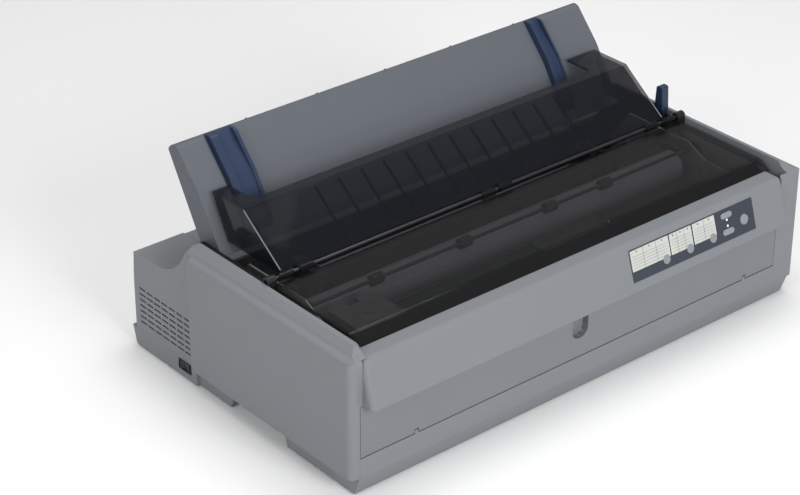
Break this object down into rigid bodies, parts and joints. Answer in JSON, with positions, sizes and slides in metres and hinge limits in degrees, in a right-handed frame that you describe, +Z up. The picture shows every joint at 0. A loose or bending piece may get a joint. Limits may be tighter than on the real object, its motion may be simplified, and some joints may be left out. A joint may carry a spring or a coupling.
{
  "type": "dot matrix printer",
  "caption": "Wide-carriage dot matrix printer with smoked hinged covers, raised paper guide with sliding edge guides, tractors, carriage and platen.",
  "frame": {"origin": "under the middle of the printer, on the surface that its feet stand on", "axes": "+X to the printer's right along the carriage, +Y to the back, +Z up"},
  "size_m": [0.639, 0.402, 0.2548],
  "materials": {
    "case_grey": "fine moulded texture",
    "guide_grey": "fine moulded texture",
    "smoked_plastic": "clear smoke grey, polished",
    "black_plastic": "satin",
    "blue_plastic": "satin",
    "panel_film": "printed film, satin",
    "key_grey": "satin",
    "black_rubber": "dull",
    "bright_steel": "ground",
    "plated_steel": "zinc plated",
    "gear_nylon": "natural nylon",
    "head_alloy": "die cast",
    "circuit_board": "solder mask"
  },
  "bodies": {
    "root": {"upper_case": "case_grey", "lower_case": "case_grey", "front_fascia": "case_grey", "inner_rail_left": "black_plastic", "inner_rail_right": "black_plastic", "tear_off_bar": "black_plastic", "switch_frame": "black_plastic", "power_inlet": "black_plastic", "panel_overlay": "panel_film", "rubber_feet": "black_rubber", "drive_belt": "black_rubber", "hinge_bar": "bright_steel", "carriage_shaft": "bright_steel", "tractor_guide_shaft": "bright_steel", "screws": "bright_steel", "side_frame_left": "plated_steel", "side_frame_right": "plated_steel", "carriage_rail": "plated_steel", "front_paper_pan": "plated_steel", "power_supply": "plated_steel", "feed_motor": "plated_steel", "carriage_motor": "plated_steel", "pulley_post": "plated_steel", "parallel_socket": "plated_steel", "serial_socket": "plated_steel", "main_board": "circuit_board", "panel_board": "circuit_board"},
    "font_key": {"font_button": "key_grey"},
    "pitch_key": {"pitch_button": "key_grey"},
    "tear_off_key": {"tear_off_button": "key_grey"},
    "load_eject_key": {"load_eject_button": "key_grey"},
    "line_feed_key": {"line_feed_button": "key_grey"},
    "pause_key": {"pause_button": "key_grey"},
    "flap": {"front_cover": "case_grey"},
    "cover": {"printer_cover": "smoked_plastic"},
    "back_cover": {"rear_cover": "smoked_plastic"},
    "guide": {"paper_guide": "guide_grey"},
    "left_edge": {"edge_guide_left": "blue_plastic"},
    "right_edge": {"edge_guide_right": "blue_plastic"},
    "lever": {"release_lever": "blue_plastic"},
    "feed_roller": {"platen": "black_rubber", "platen_shaft": "bright_steel", "platen_gear": "gear_nylon", "feed_knob": "black_plastic"},
    "idler": {"idler_gear": "gear_nylon"},
    "pinion": {"feed_pinion": "gear_nylon"},
    "second_idler": {"tractor_idler": "gear_nylon"},
    "tractor_drive": {"tractor_shaft": "bright_steel", "tractor_gear": "gear_nylon"},
    "left_tractor": {"tractor_left": "black_plastic"},
    "right_tractor": {"tractor_right": "black_plastic"},
    "head_carriage": {"carriage": "black_plastic", "print_head": "head_alloy", "ribbon_cartridge": "black_plastic"},
    "left_pulley": {"belt_pulley_left": "gear_nylon"},
    "right_pulley": {"belt_pulley_right": "gear_nylon"},
    "bail": {"paper_bail": "bright_steel"},
    "rollers": {"bail_rollers": "black_rubber"},
    "rocker": {"rocker_switch": "black_plastic"}
  },
  "joints": [
    {"name": "font_press", "type": "slide", "parent": "root", "child": "font_key", "axis": [0, 0.952, -0.3061], "range_m": [0, 0.0006], "stiffness_N_per_m": 150, "springref_m": -0.001},
    {"name": "pitch_press", "type": "slide", "parent": "root", "child": "pitch_key", "axis": [0, 0.952, -0.3061], "range_m": [0, 0.0006], "stiffness_N_per_m": 150, "springref_m": -0.001},
    {"name": "tear_off_press", "type": "slide", "parent": "root", "child": "tear_off_key", "axis": [0, 0.952, -0.3061], "range_m": [0, 0.0006], "stiffness_N_per_m": 150, "springref_m": -0.001},
    {"name": "load_eject_press", "type": "slide", "parent": "root", "child": "load_eject_key", "axis": [0, 0.952, -0.3061], "range_m": [0, 0.0006], "stiffness_N_per_m": 150, "springref_m": -0.001},
    {"name": "line_feed_press", "type": "slide", "parent": "root", "child": "line_feed_key", "axis": [0, 0.952, -0.3061], "range_m": [0, 0.0006], "stiffness_N_per_m": 150, "springref_m": -0.001},
    {"name": "pause_press", "type": "slide", "parent": "root", "child": "pause_key", "axis": [0, 0.952, -0.3061], "range_m": [0, 0.0006], "stiffness_N_per_m": 150, "springref_m": -0.001},
    {"name": "flap_hinge", "type": "hinge", "parent": "root", "child": "flap", "pos_m": [0, -0.1832, 0.0488], "axis": [1, 0, 0], "range_deg": [0, 85]},
    {"name": "cover_hinge", "type": "hinge", "parent": "root", "child": "cover", "pos_m": [0, -0.0225, 0.1693], "axis": [-1, 0, 0], "range_deg": [0, 80]},
    {"name": "back_cover_hinge", "type": "hinge", "parent": "root", "child": "back_cover", "pos_m": [0, -0.0225, 0.1693], "axis": [1, 0, 0], "range_deg": [0, 45]},
    {"name": "guide_hinge", "type": "hinge", "parent": "root", "child": "guide", "pos_m": [0, 0.081, 0.156], "axis": [-1, 0, 0], "range_deg": [0, 50]},
    {"name": "left_edge_slide", "type": "slide", "parent": "guide", "child": "left_edge", "axis": [1, 0, 0], "range_m": [-0.002, 0.12]},
    {"name": "right_edge_slide", "type": "slide", "parent": "guide", "child": "right_edge", "axis": [1, 0, 0], "range_m": [-0.25, 0]},
    {"name": "lever_hinge", "type": "hinge", "parent": "root", "child": "lever", "pos_m": [0, 0.005, 0.12], "axis": [1, 0, 0], "range_deg": [-15, 15]},
    {"name": "platen_turn", "type": "hinge", "parent": "root", "child": "feed_roller", "pos_m": [0, -0.043, 0.124], "axis": [1, 0, 0], "continuous": true},
    {"name": "idler_turn", "type": "hinge", "parent": "root", "child": "idler", "pos_m": [0, -0.013, 0.102], "axis": [1, 0, 0], "continuous": true},
    {"name": "pinion_turn", "type": "hinge", "parent": "root", "child": "pinion", "pos_m": [0, 0.001, 0.0883], "axis": [1, 0, 0], "continuous": true},
    {"name": "second_idler_turn", "type": "hinge", "parent": "root", "child": "second_idler", "pos_m": [0, 0.01478, 0.09738], "axis": [1, 0, 0], "continuous": true},
    {"name": "tractor_turn", "type": "hinge", "parent": "root", "child": "tractor_drive", "pos_m": [0, 0.04, 0.114], "axis": [1, 0, 0], "continuous": true},
    {"name": "left_tractor_slide", "type": "slide", "parent": "root", "child": "left_tractor", "axis": [1, 0, 0], "range_m": [-0.02, 0.1]},
    {"name": "right_tractor_slide", "type": "slide", "parent": "root", "child": "right_tractor", "axis": [1, 0, 0], "range_m": [-0.3, 0.03]},
    {"name": "carriage_slide", "type": "slide", "parent": "root", "child": "head_carriage", "axis": [1, 0, 0], "range_m": [0, 0.45]},
    {"name": "left_pulley_turn", "type": "hinge", "parent": "root", "child": "left_pulley", "pos_m": [-0.256, -0.121, 0.098], "axis": [0, 0, 1], "range_deg": [0, 3240]},
    {"name": "right_pulley_turn", "type": "hinge", "parent": "root", "child": "right_pulley", "pos_m": [0.256, -0.121, 0.098], "axis": [0, 0, 1], "range_deg": [0, 3240]},
    {"name": "bail_hinge", "type": "hinge", "parent": "root", "child": "bail", "pos_m": [0, -0.025, 0.141], "axis": [-1, 0, 0], "range_deg": [0, 18]},
    {"name": "roller_turn", "type": "hinge", "parent": "bail", "child": "rollers", "pos_m": [0, -0.0552, 0.1452], "axis": [1, 0, 0], "continuous": true},
    {"name": "rocker_hinge", "type": "hinge", "parent": "root", "child": "rocker", "pos_m": [-0.307, 0.104, 0.016], "axis": [0, 0, 1], "range_deg": [-8, 8]}
  ],
  "couplings": [
    {"joint": "idler_turn", "follows": "platen_turn", "ratio": -1.8571},
    {"joint": "pinion_turn", "follows": "platen_turn", "ratio": 3.7143},
    {"joint": "second_idler_turn", "follows": "platen_turn", "ratio": -2.3636},
    {"joint": "tractor_turn", "follows": "platen_turn", "ratio": 1.1818},
    {"joint": "left_pulley_turn", "follows": "carriage_slide", "rad_per_m": 125},
    {"joint": "right_pulley_turn", "follows": "carriage_slide", "rad_per_m": 125}
  ]
}
